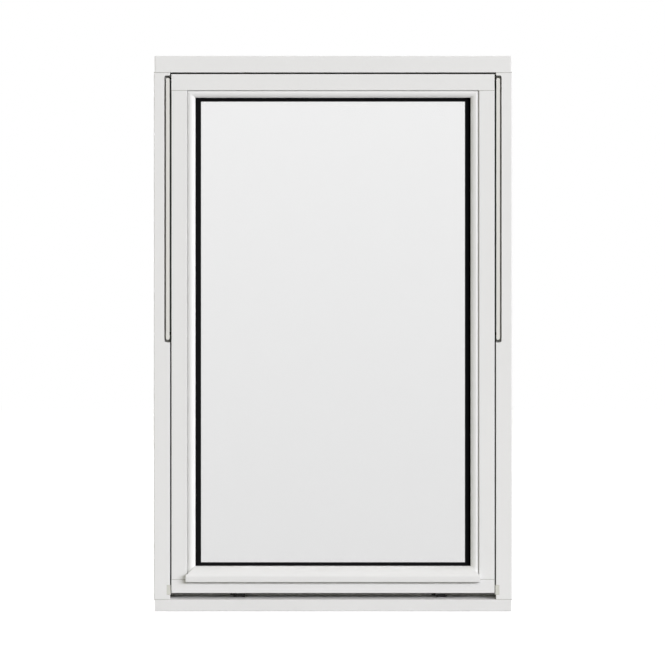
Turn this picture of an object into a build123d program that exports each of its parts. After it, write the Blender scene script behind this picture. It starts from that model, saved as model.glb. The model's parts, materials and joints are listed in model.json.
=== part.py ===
from build123d import *
import math
import os

# Top-hung window in painted timber, closed. X is the width, outside is toward -Y, Z is up.
# The origin is the middle of the sill's underside. Depths are measured inward from the outside face.

# Frame: overall size and the faces seen from outside. The sill's stop is measured from its front
# arris, and the fixing holes from the inside face.
FRAME_WIDTH = 890.0
FRAME_HEIGHT = 1380.0
FRAME_DEPTH = 115.0
JAMB_FACE = 40.0
HEAD_FACE = 41.0
SILL_FACE = 29.0
SILL_SLOPE_DEGREES = 9.0
SILL_RAKE = 2.6
END_SETBACK = 2.0
SIDE_STOP = 15.0
HEAD_STOP = 15.0
SILL_STOP_HEIGHT = 29.0
ARRIS = 2.0
JOINT_ARRIS = 1.2
LINING_GROOVE_WIDTH = 12.0
LINING_GROOVE_DEPTH = 8.0
LINING_GROOVE_SETBACK = 12.0
SILL_DRIP_WIDTH = 6.0
SILL_DRIP_DEPTH = 5.0
SILL_DRIP_SETBACK = 12.0
FIXING_RADIUS = 7.0
FIXING_DEPTH = 22.5
FIXING_END_DISTANCE = 150.0
FIXING_INNER_SPACING = 360.0

# Air between the sash and the frame
SIDE_GAP = 3.4
HEAD_GAP = 4.0
SILL_GAP = 16.1
SEAL_GAP = 5.0

# Frame gasket: a flat bulb on the stop with a tongue in a kerf
GASKET_WIDTH = 7.0
GASKET_EDGE_MARGIN = 7.5
GASKET_CLEARANCE = 0.3
GASKET_ROUND = 1.5
TONGUE_WIDTH = 3.0
TONGUE_DEPTH = 6.0

# Sash: member faces, depth and joints
SASH_DEPTH = 60.0
STILE_FACE = 38.6
TOP_RAIL_FACE = 40.6
BOTTOM_RAIL_FACE = 33.9
INNER_BEVEL_WIDTH = 6.0
INNER_BEVEL_DEPTH = 9.0
TURNING_CLEARANCE = 0.4
TURNING_TAIL = 3.0
SASH_DRIP_WIDTH = 5.0
SASH_DRIP_DEPTH = 4.0
SASH_DRIP_SETBACK = 8.0
TENON_THICKNESS = 12.0
TENON_LENGTH = 28.0
TENON_SETBACK = 10.0

# Glazing: beads, tapes and the sealed unit
SIDE_BEAD_WIDTH = 21.0
TOP_BEAD_WIDTH = 18.4
BOTTOM_BEAD_RISE = 33.6
BEAD_DEPTH = 13.0
BEAD_LIP = 3.5
BEAD_RECESS = 2.6
BEAD_QUIRK = 5.6
BEAD_CREST_SHARE = 0.37
DRIP_PROJECTION = 14.0
DRIP_NOSE_HEIGHT = 12.2
DRIP_LAP = 6.2
DRIP_OVERHANG = 3.0
DRIP_RAKE = 1.5
DRIP_BULGE = 4.5
DRIP_MITRE_DROP = 21.0
DRIP_GROOVE_WIDTH = 4.0
DRIP_GROOVE_DEPTH = 2.0
TAPE = 3.0
PANE = 4.0
CAVITY = 16.0
SIDE_BAND = 14.0
TOP_BAND = 9.2
BOTTOM_BAND = 8.9
SPACER_HEIGHT = 8.0
EDGE_SEAL = 14.0
EDGE_CLEARANCE = 5.0
SETTING_BLOCK_LENGTH = 100.0
SETTING_BLOCK_MARGIN = 80.0

# Linkage: a sliding upper pivot, an arm half as long as the slide, and a fixed lower pivot
PIVOT_DEPTH = 16.25
PIVOT_DROP = 15.0
LINK_PIN_RADIUS = 3.5
PIN_CLEARANCE = 0.06
ARM_WIDTH = 18.0
ARM_THICKNESS = 2.4
ARM_SASH_CLEARANCE = 0.5
BRACKET_THICKNESS = 3.0
BRACKET_PLAY = 0.2
SIDE_BRACKET_LENGTH = 70.0
CORNER_BRACKET_REACH = 60.0
CORNER_BRACKET_CROWN = 11.0
BRACKET_ROUND = 4.0

# Guide rail in a pocket of the jamb, with the nose that is seen from outside
POCKET_WIDTH = 14.1
POCKET_BACK_GAP = 1.5
POCKET_END_GAP = 6.2
POCKET_ROUND = 5.0
RAIL_CROWN = 5.5
RAIL_TAIL = 15.5
RAIL_SETBACK = 1.1
RAIL_WALL = 2.0
RAIL_BACK = 25.5
RAIL_LIP = 3.0
RAIL_LIP_THICKNESS = 1.6
RAIL_CHANNEL = 14.5
NOSE_WIDTH = 8.9
NOSE_SETBACK = 0.5
NOSE_ROUND = 4.0
SHOE_PLAY = 0.3
SHOE_ABOVE = 5.0
SHOE_BELOW = 40.0
SHOE_ROUND = 3.0
SHOE_PIN_REACH = 4.2
PIVOT_BLOCK_LENGTH = 30.0
PIVOT_BLOCK_PLAY = 0.1
PIVOT_BOSS_RADIUS = 4.0

# Guide block at the foot of each jamb, its bottom measured from the sill's front arris
GUIDE_RECESS = 8.6
GUIDE_PROUD = 2.5
GUIDE_BOTTOM = 12.0
GUIDE_HEIGHT = 24.4
GUIDE_LENGTH = 20.0
GUIDE_SETBACK = 0.5
GUIDE_LEAD = 7.0
GUIDE_LEAD_DROP = 1.5
GUIDE_ROUND = 1.5

# Lock in the bottom rail, its rod and cams, and the keepers on the sill
LOCK_DEPTH = 46.0
LOCK_GROOVE_WIDTH = 16.0
LOCK_GROOVE_HEIGHT = 14.0
FACEPLATE_LENGTH = 640.0
FACEPLATE_THICKNESS = 2.5
ROD_END_GAP = 30.0
ROD_WIDTH = 10.0
ROD_HEIGHT = 5.0
ROD_PLAY = 0.3
ROD_TRAVEL = 20.0
CAM_INSET = 70.0
CAM_RADIUS = 5.0
CAM_DROP = 5.2
CAM_SLOT_PLAY = 0.5
GEARBOX_LENGTH = 36.0
GEARBOX_TOP_WALL = 4.5
HUB_RADIUS = 5.4
KEEPER_LENGTH = 24.0
KEEPER_THICKNESS = 3.4
KEEPER_FOOT_THICKNESS = 2.0
KEEPER_FOOT_DEPTH = 26.0
KEEPER_CAM_GAP = 0.6
KEEPER_SIDE_GAP = 2.0
KEEPER_SASH_GAP = 2.0

# Handle on the inside of the bottom rail, its axis measured from the sash's bottom edge
HANDLE_HEIGHT = 32.0
ROSE_WIDTH = 64.0
ROSE_HEIGHT = 28.0
ROSE_THICKNESS = 6.0
ROSE_CORNER = 12.0
ROSE_BEVEL = 2.0
NECK_RADIUS = 8.0
NECK_CLEARANCE = 0.3
LEVER_STANDOFF = 30.0
LEVER_THICKNESS = 11.0
LEVER_LENGTH = 118.0
LEVER_ROOT_HEIGHT = 19.0
LEVER_TIP_HEIGHT = 14.0
LEVER_ROUND = 3.5
LEVER_BEVEL = 2.5
SPINDLE_SIDE = 7.0
SPINDLE_HOLE_RADIUS = 6.0

# One overrun serves all cuts
OVERRUN = 10.0

# Places that follow from the sizes
outer_x = FRAME_WIDTH / 2
jamb_x = outer_x - JAMB_FACE
end_x = outer_x - END_SETBACK
head_z = FRAME_HEIGHT - HEAD_FACE
stop_depth = SASH_DEPTH + SEAL_GAP
stop_x = jamb_x - SIDE_STOP
stop_top = head_z - HEAD_STOP
stop_bottom = SILL_FACE + SILL_STOP_HEIGHT
sill_slope = math.tan(math.radians(SILL_SLOPE_DEGREES))

sash_x = jamb_x - SIDE_GAP
sash_top = head_z - HEAD_GAP
sash_bottom = SILL_FACE + SILL_GAP
bead_x = sash_x - STILE_FACE
bead_top = sash_top - TOP_RAIL_FACE
bead_bottom = sash_bottom + BOTTOM_RAIL_FACE
sight_x = bead_x - SIDE_BEAD_WIDTH
sight_top = bead_top - TOP_BEAD_WIDTH
sight_bottom = bead_bottom + BOTTOM_BEAD_RISE
edge_zone = SPACER_HEIGHT + EDGE_SEAL
pane_x = sight_x - SIDE_BAND + edge_zone
pane_top = sight_top - TOP_BAND + edge_zone
pane_bottom = sight_bottom + BOTTOM_BAND - edge_zone
wall_x = pane_x + EDGE_CLEARANCE
wall_top = pane_top + EDGE_CLEARANCE
wall_bottom = pane_bottom - EDGE_CLEARANCE
outer_pane_depth = BEAD_DEPTH + TAPE
cavity_depth = outer_pane_depth + PANE
inner_pane_depth = cavity_depth + CAVITY
inner_tape_depth = inner_pane_depth + PANE
rebate_depth = inner_tape_depth + TAPE

upper_pivot_z = sash_top - PIVOT_DROP
lower_pivot_z = (sash_top + sash_bottom) / 2
arm_length = (upper_pivot_z - lower_pivot_z) / 2
middle_pivot_z = lower_pivot_z + arm_length
arm_x = sash_x + ARM_SASH_CLEARANCE
pocket_x = jamb_x + POCKET_WIDTH
pocket_depth = RAIL_BACK + POCKET_BACK_GAP
mouth_x = jamb_x + RAIL_SETBACK
rail_top = upper_pivot_z + RAIL_CROWN
rail_bottom = lower_pivot_z - RAIL_TAIL
channel_back = RAIL_BACK - RAIL_WALL
channel_front = channel_back - RAIL_CHANNEL
nose_x = mouth_x + NOSE_WIDTH
web_x = nose_x - RAIL_WALL
shoe_x = mouth_x + RAIL_LIP_THICKNESS + SHOE_PLAY
guide_z = SILL_FACE + GUIDE_BOTTOM

cam_place = FACEPLATE_LENGTH / 2 - CAM_INSET
cam_z = sash_bottom - CAM_DROP
rod_z = sash_bottom + FACEPLATE_THICKNESS + ROD_PLAY
lock_groove_z = sash_bottom + LOCK_GROOVE_HEIGHT
gearbox_z = rod_z + ROD_HEIGHT + ROD_PLAY
gearbox_top = wall_bottom - GEARBOX_TOP_WALL
handle_z = sash_bottom + HANDLE_HEIGHT
lever_depth = SASH_DEPTH + LEVER_STANDOFF


def at_depth(depth):
    return depth - FRAME_DEPTH / 2


def along_width(points, left, right, radii=None):
    """Extrude an outline of (depth, height) points along X."""
    corners = [(at_depth(depth), height) for depth, height in points]
    return extrude(Plane.YZ.offset(left) * outline_face(corners, radii), amount=right - left)


def along_height(points, bottom, top, radii=None):
    """Extrude an outline of (width, depth) points along Z."""
    corners = [(width, at_depth(depth)) for width, depth in points]
    return extrude(Plane.XY.offset(bottom) * outline_face(corners, radii), amount=top - bottom)


def along_depth(points, front, back, radii=None):
    """Extrude an outline of (width, height) points along Y."""
    plane = Plane.XZ.offset(-at_depth(back))
    return extrude(plane * outline_face(points, radii), amount=back - front)


def outline_face(corners, radii):
    if radii is None:
        return make_face(Polyline(corners, close=True))
    return make_face(FilletPolyline(corners, radius=radii, close=True))


def block(left, right, front, back, bottom, top):
    """Box between two widths, two depths and two heights."""
    size = Box(right - left, back - front, top - bottom)
    return Pos((left + right) / 2, at_depth((front + back) / 2), (bottom + top) / 2) * size


def pin_along_x(radius, left, right, depth, height):
    place = Pos((left + right) / 2, at_depth(depth), height)
    return place * Rot(0, 90, 0) * Cylinder(radius, right - left)


def pin_along_y(radius, front, back, width, height):
    place = Pos(width, at_depth((front + back) / 2), height)
    return place * Rot(90, 0, 0) * Cylinder(radius, back - front)


def ring(half_outer, bottom_outer, top_outer, half_inner, bottom_inner, top_inner, front, back):
    """Rectangular ring in the plane of the window, between two depths."""
    body = block(-half_outer, half_outer, front, back, bottom_outer, top_outer)
    hole = block(-half_inner, half_inner, front - OVERRUN, back + OVERRUN, bottom_inner, top_inner)
    return body - hole


def gasket_tongue():
    inset = GASKET_EDGE_MARGIN + (GASKET_WIDTH - TONGUE_WIDTH) / 2
    outset = inset + TONGUE_WIDTH
    return ring(
        stop_x + outset, stop_bottom - outset, stop_top + outset,
        stop_x + inset, stop_bottom - inset, stop_top + inset,
        stop_depth, stop_depth + TONGUE_DEPTH,
    )


def frame_gasket():
    inset = GASKET_EDGE_MARGIN
    outset = inset + GASKET_WIDTH
    bulb = ring(
        stop_x + outset, stop_bottom - outset, stop_top + outset,
        stop_x + inset, stop_bottom - inset, stop_top + inset,
        SASH_DEPTH + GASKET_CLEARANCE, stop_depth,
    )
    front_edges = bulb.faces().sort_by(Axis.Y)[0].edges()
    return fillet(front_edges, GASKET_ROUND) + gasket_tongue()


def head_points():
    return [
        (0, head_z), (0, FRAME_HEIGHT), (FRAME_DEPTH, FRAME_HEIGHT),
        (FRAME_DEPTH, stop_top), (stop_depth, stop_top), (stop_depth, head_z),
    ]


def head():
    radii = [JOINT_ARRIS, ARRIS, ARRIS, ARRIS, ARRIS, 0]
    body = along_width(head_points(), -end_x, end_x, radii)
    groove_top = FRAME_HEIGHT - LINING_GROOVE_SETBACK
    groove = block(
        -outer_x - OVERRUN, outer_x + OVERRUN, FRAME_DEPTH - LINING_GROOVE_DEPTH, FRAME_DEPTH + OVERRUN,
        groove_top - LINING_GROOVE_WIDTH, groove_top,
    )
    body = body - groove - gasket_tongue()
    ends = body.edges().filter_by(Axis.Z).group_by(Axis.Y)[0]
    return chamfer(ends, JOINT_ARRIS)


def sill_points():
    stop_foot = SILL_FACE + stop_depth * sill_slope
    return [
        (SILL_RAKE, 0), (0, SILL_FACE), (stop_depth, stop_foot), (stop_depth, stop_bottom),
        (FRAME_DEPTH, stop_bottom), (FRAME_DEPTH, 0),
    ]


def sill():
    radii = [ARRIS, JOINT_ARRIS, 0, ARRIS, ARRIS, ARRIS]
    body = along_width(sill_points(), -end_x, end_x, radii)
    groove = block(
        -outer_x - OVERRUN, outer_x + OVERRUN, FRAME_DEPTH - LINING_GROOVE_DEPTH, FRAME_DEPTH + OVERRUN,
        LINING_GROOVE_SETBACK, LINING_GROOVE_SETBACK + LINING_GROOVE_WIDTH,
    )
    drip = block(
        -outer_x - OVERRUN, outer_x + OVERRUN, SILL_DRIP_SETBACK, SILL_DRIP_SETBACK + SILL_DRIP_WIDTH,
        -OVERRUN, SILL_DRIP_DEPTH,
    )
    return body - groove - drip - gasket_tongue()


def jamb():
    """Right jamb: stop section, scribed under the head and onto the sloping sill."""
    points = [
        (jamb_x, 0), (outer_x, 0), (outer_x, FRAME_DEPTH),
        (stop_x, FRAME_DEPTH), (stop_x, stop_depth), (jamb_x, stop_depth),
    ]
    body = along_height(points, 0, FRAME_HEIGHT, [JOINT_ARRIS, ARRIS, ARRIS, ARRIS, ARRIS, 0])
    body -= along_width(head_points(), 0, outer_x + OVERRUN)
    body -= along_width(sill_points(), 0, outer_x + OVERRUN)
    foot = block(0, outer_x + OVERRUN, -OVERRUN, SILL_RAKE, -OVERRUN, SILL_FACE)
    body -= foot
    body -= shoulder_ease(head_z, -1)
    body -= shoulder_ease(SILL_FACE, 1)
    groove_x = outer_x - LINING_GROOVE_SETBACK
    body -= block(
        groove_x - LINING_GROOVE_WIDTH, groove_x, FRAME_DEPTH - LINING_GROOVE_DEPTH,
        FRAME_DEPTH + OVERRUN, 0, FRAME_HEIGHT,
    )
    body -= gasket_tongue()
    body -= rail_pocket()
    body -= guide_recess()
    depth = FRAME_DEPTH - FIXING_DEPTH
    for height in fixing_heights():
        body -= pin_along_x(FIXING_RADIUS, stop_x - OVERRUN, outer_x + OVERRUN, depth, height)
    return body


def shoulder_ease(height, inward):
    """Wedge that eases the front arris of an upright where it ends against a cross member."""
    reach = 2 * JOINT_ARRIS
    past_end = height - inward * JOINT_ARRIS
    points = [(-JOINT_ARRIS, height + inward * reach), (reach, past_end), (-JOINT_ARRIS, past_end)]
    return along_width(points, 0, outer_x + OVERRUN)


def fixing_heights():
    middle = FRAME_HEIGHT / 2
    outer = middle - FIXING_END_DISTANCE
    inner = FIXING_INNER_SPACING / 2
    return [middle - outer, middle - inner, middle + inner, middle + outer]


def rail_pocket():
    bottom = rail_bottom - POCKET_END_GAP
    top = rail_top + POCKET_END_GAP
    points = [
        (jamb_x - OVERRUN, bottom), (pocket_x, bottom), (pocket_x, top), (jamb_x - OVERRUN, top),
    ]
    return along_depth(points, -OVERRUN, pocket_depth, [0, POCKET_ROUND, POCKET_ROUND, 0])


def guide_rail():
    """Channel for the shoe with a solid nose at its front and a flange at its back that seats it."""
    lip_x = mouth_x + RAIL_LIP_THICKNESS
    points = [
        (mouth_x, NOSE_SETBACK), (nose_x, NOSE_SETBACK), (nose_x, RAIL_BACK), (mouth_x, RAIL_BACK),
        (mouth_x, channel_back - RAIL_LIP), (lip_x, channel_back - RAIL_LIP), (lip_x, channel_back),
        (web_x, channel_back), (web_x, channel_front),
        (lip_x, channel_front), (lip_x, channel_front + RAIL_LIP), (mouth_x, channel_front + RAIL_LIP),
    ]
    body = along_height(points, rail_bottom, rail_top)
    ends = [(mouth_x, rail_bottom), (nose_x, rail_bottom), (nose_x, rail_top), (mouth_x, rail_top)]
    body &= along_depth(ends, 0, FRAME_DEPTH, NOSE_ROUND)
    flange = block(web_x, pocket_x, channel_back, RAIL_BACK, rail_bottom + NOSE_ROUND, rail_top - NOSE_ROUND)
    return body + flange


def shoe():
    """Slider in the rail's channel, with the bore for the sash's upper pivot pin."""
    right = web_x - SHOE_PLAY
    body = block(
        shoe_x, right, channel_front + SHOE_PLAY, channel_back - SHOE_PLAY,
        upper_pivot_z - SHOE_BELOW, upper_pivot_z + SHOE_ABOVE,
    )
    foot_edges = body.edges().filter_by(Axis.X).group_by(Axis.Z)[0]
    body = fillet(foot_edges, SHOE_ROUND)
    bore = LINK_PIN_RADIUS + PIN_CLEARANCE
    return body - pin_along_x(bore, shoe_x - OVERRUN, right + OVERRUN, PIVOT_DEPTH, upper_pivot_z)


def jamb_pivot():
    """Block in the tail of the rail that carries the fixed stud of the arm."""
    half_length = PIVOT_BLOCK_LENGTH / 2
    left = mouth_x + RAIL_LIP_THICKNESS + PIVOT_BLOCK_PLAY
    right = web_x - PIVOT_BLOCK_PLAY
    body = block(
        left, right, channel_front + PIVOT_BLOCK_PLAY, channel_back - PIVOT_BLOCK_PLAY,
        lower_pivot_z - half_length, lower_pivot_z + half_length,
    )
    arm_outer = arm_x + ARM_THICKNESS
    shoulder = arm_outer + PIVOT_BLOCK_PLAY
    body += pin_along_x(PIVOT_BOSS_RADIUS, shoulder, left + BRACKET_THICKNESS, PIVOT_DEPTH, lower_pivot_z)
    return body + pin_along_x(LINK_PIN_RADIUS, arm_x, shoulder, PIVOT_DEPTH, lower_pivot_z)


def arm():
    """Flat steel link between the jamb pivot and the sash's side bracket."""
    half_width = ARM_WIDTH / 2
    body = block(
        arm_x, arm_x + ARM_THICKNESS, PIVOT_DEPTH - half_width, PIVOT_DEPTH + half_width,
        lower_pivot_z, middle_pivot_z,
    )
    bore = LINK_PIN_RADIUS + PIN_CLEARANCE
    for height in (lower_pivot_z, middle_pivot_z):
        body += pin_along_x(half_width, arm_x, arm_x + ARM_THICKNESS, PIVOT_DEPTH, height)
    for height in (lower_pivot_z, middle_pivot_z):
        body -= pin_along_x(bore, arm_x - OVERRUN, arm_x + OVERRUN, PIVOT_DEPTH, height)
    return body


def bracket_plate(bottom, top, play=0):
    """Plate let into the edge of the sash; with play it is the recess that takes it."""
    half_width = ARM_WIDTH / 2 + play
    front = PIVOT_DEPTH - half_width
    back = PIVOT_DEPTH + half_width
    low = bottom - play
    high = top + play
    points = [(at_depth(front), low), (at_depth(back), low), (at_depth(back), high), (at_depth(front), high)]
    face = make_face(FilletPolyline(points, radius=BRACKET_ROUND, close=True))
    left = sash_x - BRACKET_THICKNESS
    reach = BRACKET_THICKNESS + (OVERRUN if play else 0)
    return extrude(Plane.YZ.offset(left) * face, amount=reach)


def corner_bracket_range():
    return upper_pivot_z - CORNER_BRACKET_REACH, upper_pivot_z + CORNER_BRACKET_CROWN


def side_bracket_range():
    half_length = SIDE_BRACKET_LENGTH / 2
    return middle_pivot_z - half_length, middle_pivot_z + half_length


def corner_bracket():
    plate = bracket_plate(*corner_bracket_range())
    tip = shoe_x + SHOE_PIN_REACH
    return plate + pin_along_x(LINK_PIN_RADIUS, sash_x, tip, PIVOT_DEPTH, upper_pivot_z)


def side_bracket():
    plate = bracket_plate(*side_bracket_range())
    return plate + pin_along_x(LINK_PIN_RADIUS, sash_x, arm_x + ARM_THICKNESS, PIVOT_DEPTH, middle_pivot_z)


def guide_recess():
    return block(
        jamb_x - OVERRUN, jamb_x + GUIDE_RECESS, -OVERRUN, GUIDE_LENGTH,
        guide_z, guide_z + GUIDE_HEIGHT,
    )


def guide_block():
    """Block that centres the foot of the closing sash, with a lead at its outside end."""
    proud_x = jamb_x - GUIDE_PROUD
    points = [
        (jamb_x + GUIDE_RECESS, GUIDE_SETBACK), (proud_x + GUIDE_LEAD_DROP, GUIDE_SETBACK),
        (proud_x, GUIDE_SETBACK + GUIDE_LEAD), (proud_x, GUIDE_LENGTH), (jamb_x + GUIDE_RECESS, GUIDE_LENGTH),
    ]
    body = along_height(points, guide_z, guide_z + GUIDE_HEIGHT)
    front_edges = body.faces().sort_by(Axis.Y)[0].edges().filter_by(Axis.X)
    return fillet(front_edges, GUIDE_ROUND)


def turning_bevel():
    """Taper of the top rail's inside that lets it turn about the upper pivot behind the stops."""
    reach = SASH_DEPTH - PIVOT_DEPTH
    return reach - math.sqrt(reach**2 - PIVOT_DROP**2) + TURNING_CLEARANCE


def top_rail_points():
    bevel_foot = upper_pivot_z - TURNING_TAIL
    return [
        (0, sash_top), (0, bead_top), (BEAD_DEPTH, bead_top), (BEAD_DEPTH, wall_top),
        (rebate_depth, wall_top), (rebate_depth, sight_top),
        (SASH_DEPTH - INNER_BEVEL_DEPTH, sight_top), (SASH_DEPTH, sight_top + INNER_BEVEL_WIDTH),
        (SASH_DEPTH, bevel_foot), (SASH_DEPTH - turning_bevel(), sash_top),
    ]


def bottom_rail_points():
    return [
        (0, sash_bottom), (0, bead_bottom), (BEAD_DEPTH, bead_bottom), (BEAD_DEPTH, wall_bottom),
        (rebate_depth, wall_bottom), (rebate_depth, sight_bottom),
        (SASH_DEPTH - INNER_BEVEL_DEPTH, sight_bottom), (SASH_DEPTH, sight_bottom - INNER_BEVEL_WIDTH),
        (SASH_DEPTH, sash_bottom),
    ]


def tenon(bottom, top, play=0):
    middle = (BEAD_DEPTH + rebate_depth) / 2
    half = TENON_THICKNESS / 2 + play
    return block(wall_x - play, sash_x - TENON_SETBACK + play, middle - half, middle + half, bottom, top)


def bracket_recesses():
    corner = bracket_plate(*corner_bracket_range(), BRACKET_PLAY)
    return [corner, bracket_plate(*side_bracket_range(), BRACKET_PLAY)]


def sash_top_rail():
    radii = [ARRIS, JOINT_ARRIS, 0, 0, 0, 0, JOINT_ARRIS, JOINT_ARRIS, 0, JOINT_ARRIS]
    body = along_width(top_rail_points(), -sash_x, sash_x, radii)
    cuts = [tenon(wall_top - OVERRUN, wall_top + TENON_LENGTH + BRACKET_PLAY, BRACKET_PLAY)]
    cuts += bracket_recesses()
    for cut in cuts:
        body -= cut
        body -= mirror(cut, about=Plane.YZ)
    return body


def sash_bottom_rail():
    radii = [JOINT_ARRIS, JOINT_ARRIS, 0, 0, 0, 0, JOINT_ARRIS, JOINT_ARRIS, JOINT_ARRIS]
    body = along_width(bottom_rail_points(), -sash_x, sash_x, radii)
    mortise = tenon(wall_bottom - TENON_LENGTH - BRACKET_PLAY, wall_bottom + OVERRUN, BRACKET_PLAY)
    body -= mortise
    body -= mirror(mortise, about=Plane.YZ)
    body -= block(
        -sash_x - OVERRUN, sash_x + OVERRUN, SASH_DRIP_SETBACK, SASH_DRIP_SETBACK + SASH_DRIP_WIDTH,
        sash_bottom - OVERRUN, sash_bottom + SASH_DRIP_DEPTH,
    )
    body -= lock_groove()
    half_gear = GEARBOX_LENGTH / 2
    body -= block(
        -half_gear, half_gear, LOCK_DEPTH - LOCK_GROOVE_WIDTH / 2, LOCK_DEPTH + LOCK_GROOVE_WIDTH / 2,
        sash_bottom, gearbox_top,
    )
    return body - pin_along_y(SPINDLE_HOLE_RADIUS, LOCK_DEPTH, SASH_DEPTH + OVERRUN, 0, handle_z)


def sash_stile():
    """Right stile: scribed between the rails and tenoned into both."""
    points = [
        (sash_x, 0), (bead_x, 0), (bead_x, BEAD_DEPTH), (wall_x, BEAD_DEPTH),
        (wall_x, rebate_depth), (sight_x, rebate_depth),
        (sight_x, SASH_DEPTH - INNER_BEVEL_DEPTH), (sight_x + INNER_BEVEL_WIDTH, SASH_DEPTH),
        (sash_x, SASH_DEPTH),
    ]
    radii = [JOINT_ARRIS, JOINT_ARRIS, 0, 0, 0, 0, JOINT_ARRIS, JOINT_ARRIS, JOINT_ARRIS]
    body = along_height(points, sash_bottom, sash_top, radii)
    for rail in (top_rail_points(), bottom_rail_points()):
        body -= along_width(rail, 0, sash_x + OVERRUN)
    body -= block(
        0, sash_x + OVERRUN, SASH_DEPTH - turning_bevel() - OVERRUN, SASH_DEPTH + OVERRUN,
        bead_top, sash_top + OVERRUN,
    )
    body -= shoulder_ease(bead_top, -1)
    body -= shoulder_ease(bead_bottom, 1)
    body += tenon(wall_top - OVERRUN, wall_top + TENON_LENGTH)
    body += tenon(wall_bottom - TENON_LENGTH, wall_bottom + OVERRUN)
    for cut in bracket_recesses():
        body -= cut
    return body


def bead_face(width):
    """Bead section from its quirk (x = 0) to the sight edge: a sunk roll that falls to the glass."""
    crest = (width * BEAD_CREST_SHARE, BEAD_RECESS)
    lip_depth = BEAD_DEPTH - BEAD_LIP
    quirk_depth = BEAD_RECESS + BEAD_QUIRK
    outline = TangentArc([crest, (0, quirk_depth)], tangent=(-1, 0))
    outline += TangentArc([crest, (width, lip_depth)], tangent=(1, 0))
    outline += Polyline((width, lip_depth), (width, BEAD_DEPTH), (0, BEAD_DEPTH), (0, quirk_depth))
    return make_face(outline)


def side_bead():
    """Right bead, mitred to the top bead and down onto the drip bead."""
    plane = Plane(origin=(bead_x, at_depth(0), sash_bottom), x_dir=(-1, 0, 0), z_dir=(0, 0, -1))
    body = extrude(plane * bead_face(SIDE_BEAD_WIDTH), amount=-(sash_top - sash_bottom))
    mitres = [
        (bead_x, bead_top), (sight_x, sight_top),
        (sight_x, sight_bottom), (bead_x, sight_bottom - DRIP_MITRE_DROP),
    ]
    return body & along_depth(mitres, -OVERRUN, BEAD_DEPTH + OVERRUN)


def top_bead():
    plane = Plane(origin=(-sash_x, at_depth(0), bead_top), x_dir=(0, 0, -1), z_dir=(1, 0, 0))
    body = extrude(plane * bead_face(TOP_BEAD_WIDTH), amount=2 * sash_x)
    mitres = [(-bead_x, bead_top), (bead_x, bead_top), (sight_x, sight_top), (-sight_x, sight_top)]
    return body & along_depth(mitres, -OVERRUN, BEAD_DEPTH + OVERRUN)


def drip_bead():
    """Sloping bottom bead with a nose that throws the water clear of the bottom rail."""
    lip_depth = BEAD_DEPTH - BEAD_LIP
    nose_foot = bead_bottom - DRIP_LAP
    nose_top = nose_foot + DRIP_NOSE_HEIGHT
    front = -DRIP_PROJECTION
    rise = sight_bottom - nose_top
    slope_length = math.hypot(lip_depth - front, rise)
    middle = (
        (lip_depth + front) / 2 - DRIP_BULGE * rise / slope_length,
        (sight_bottom + nose_top) / 2 + DRIP_BULGE * (lip_depth - front) / slope_length,
    )
    groove_back = front + DRIP_GROOVE_WIDTH * 2
    groove_top = nose_foot + DRIP_GROOVE_DEPTH
    slope = ThreePointArc((lip_depth, sight_bottom), middle, (front, nose_top))
    rest = Polyline(
        (front, nose_top), (front + DRIP_RAKE, nose_foot), (front + DRIP_GROOVE_WIDTH, nose_foot),
        (front + DRIP_GROOVE_WIDTH, groove_top), (groove_back, groove_top), (groove_back, nose_foot),
        (0, nose_foot + DRIP_GROOVE_DEPTH), (0, bead_bottom), (BEAD_DEPTH, bead_bottom),
        (BEAD_DEPTH, sight_bottom), (lip_depth, sight_bottom),
    )
    half_length = bead_x + DRIP_OVERHANG
    plane = Plane(origin=(-half_length, at_depth(0), 0), x_dir=(0, 1, 0), z_dir=(1, 0, 0))
    body = extrude(plane * make_face(slope + rest), amount=2 * half_length)
    mitre_foot = sight_bottom - DRIP_MITRE_DROP
    corner = along_depth(
        [
            (sight_x, sight_bottom), (bead_x, mitre_foot), (half_length + OVERRUN, mitre_foot),
            (half_length + OVERRUN, sight_bottom + OVERRUN), (sight_x, sight_bottom + OVERRUN),
        ],
        -DRIP_PROJECTION - OVERRUN, BEAD_DEPTH + OVERRUN,
    )
    check = block(bead_x, half_length + OVERRUN, 0, BEAD_DEPTH + OVERRUN, 0, sight_bottom)
    for cut in (corner, check):
        body -= cut
        body -= mirror(cut, about=Plane.YZ)
    return body


def pane(front):
    return block(-pane_x, pane_x, front, front + PANE, pane_bottom, pane_top)


def edge_ring(outer_inset, inner_inset, front, back):
    """Ring of the sealed unit between two insets from the edge of the panes."""
    return ring(
        pane_x - outer_inset, pane_bottom + outer_inset, pane_top - outer_inset,
        pane_x - inner_inset, pane_bottom + inner_inset, pane_top - inner_inset, front, back,
    )


def glazing_tape(front):
    return ring(pane_x, pane_bottom, pane_top, sight_x, sight_bottom, sight_top, front, front + TAPE)


def setting_blocks():
    blocks = Part()
    for side in (-1, 1):
        middle = side * (pane_x - SETTING_BLOCK_MARGIN - SETTING_BLOCK_LENGTH / 2)
        half = SETTING_BLOCK_LENGTH / 2
        blocks += block(
            middle - half, middle + half, outer_pane_depth, inner_tape_depth, wall_bottom, pane_bottom,
        )
    return blocks


def lock_groove():
    half_length = FACEPLATE_LENGTH / 2
    half_width = LOCK_GROOVE_WIDTH / 2
    return block(
        -half_length, half_length, LOCK_DEPTH - half_width, LOCK_DEPTH + half_width,
        sash_bottom - OVERRUN, lock_groove_z,
    )


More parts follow.
